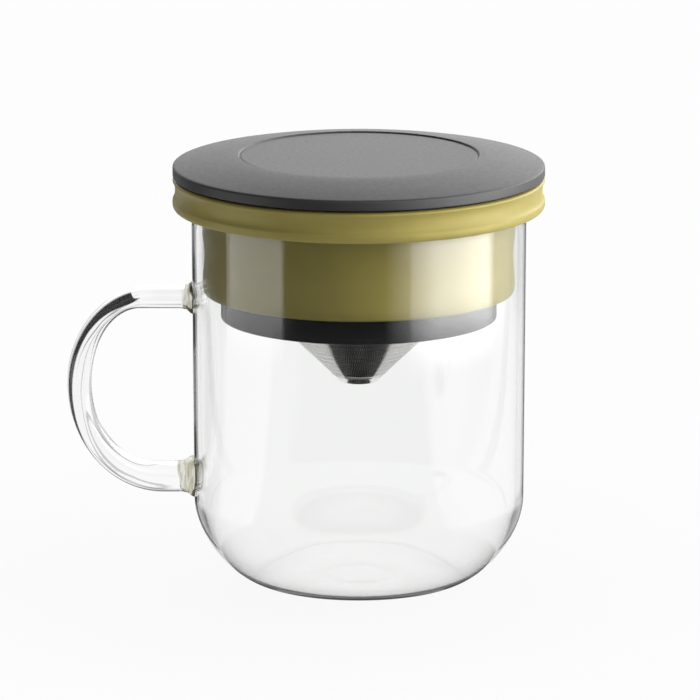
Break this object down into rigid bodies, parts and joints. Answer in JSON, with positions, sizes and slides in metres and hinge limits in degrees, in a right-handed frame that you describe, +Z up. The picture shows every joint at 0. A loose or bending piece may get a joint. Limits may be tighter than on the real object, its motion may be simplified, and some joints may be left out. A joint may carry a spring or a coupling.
{
  "type": "lidded tea mug with infuser",
  "caption": "Clear glass tea mug with a C-shaped handle, a waisted silicone collar that holds a steel cone drip filter in a dark housing, and a domed lift-off lid.",
  "frame": {"origin": "centre of the flat base of the glass, on the mug's axis", "axes": "+Z up along the mug's axis; the handle stands out along -X in the XZ plane; +Y is across the handle"},
  "size_m": [0.1258, 0.0978, 0.1136],
  "materials": {
    "clear_glass": "clear borosilicate glass, fire-polished",
    "olive_silicone": "satin moulded silicone",
    "smoke_plastic": "glossy moulded plastic",
    "steel_sheet": "perforated stainless steel sheet",
    "steel_mesh": "fine woven stainless steel mesh",
    "polished_steel": "polished stainless steel",
    "charcoal_plastic": "fine-grained matte moulding",
    "grey_silicone": "satin silicone ring"
  },
  "bodies": {
    "mug": {"glass_body": "clear_glass", "glass_handle": "clear_glass"},
    "collar": {"collar": "olive_silicone"},
    "infuser": {"filter_housing": "smoke_plastic", "cone_clamp": "smoke_plastic", "cone_hoop": "steel_sheet", "outer_cone": "steel_sheet", "mesh_cone": "steel_mesh", "cone_cap": "polished_steel"},
    "lid": {"lid_cover": "charcoal_plastic", "lid_liner": "charcoal_plastic", "lid_seal": "grey_silicone"}
  },
  "joints": [
    {"name": "collar_lift", "type": "slide", "parent": "mug", "child": "collar", "axis": [0, 0, 1], "range_m": [0, 0.055]},
    {"name": "infuser_lift", "type": "slide", "parent": "collar", "child": "infuser", "axis": [0, 0, 1], "range_m": [0, 0.06]},
    {"name": "lid_lift", "type": "slide", "parent": "infuser", "child": "lid", "axis": [0, 0, 1], "range_m": [0, 0.04]}
  ]
}
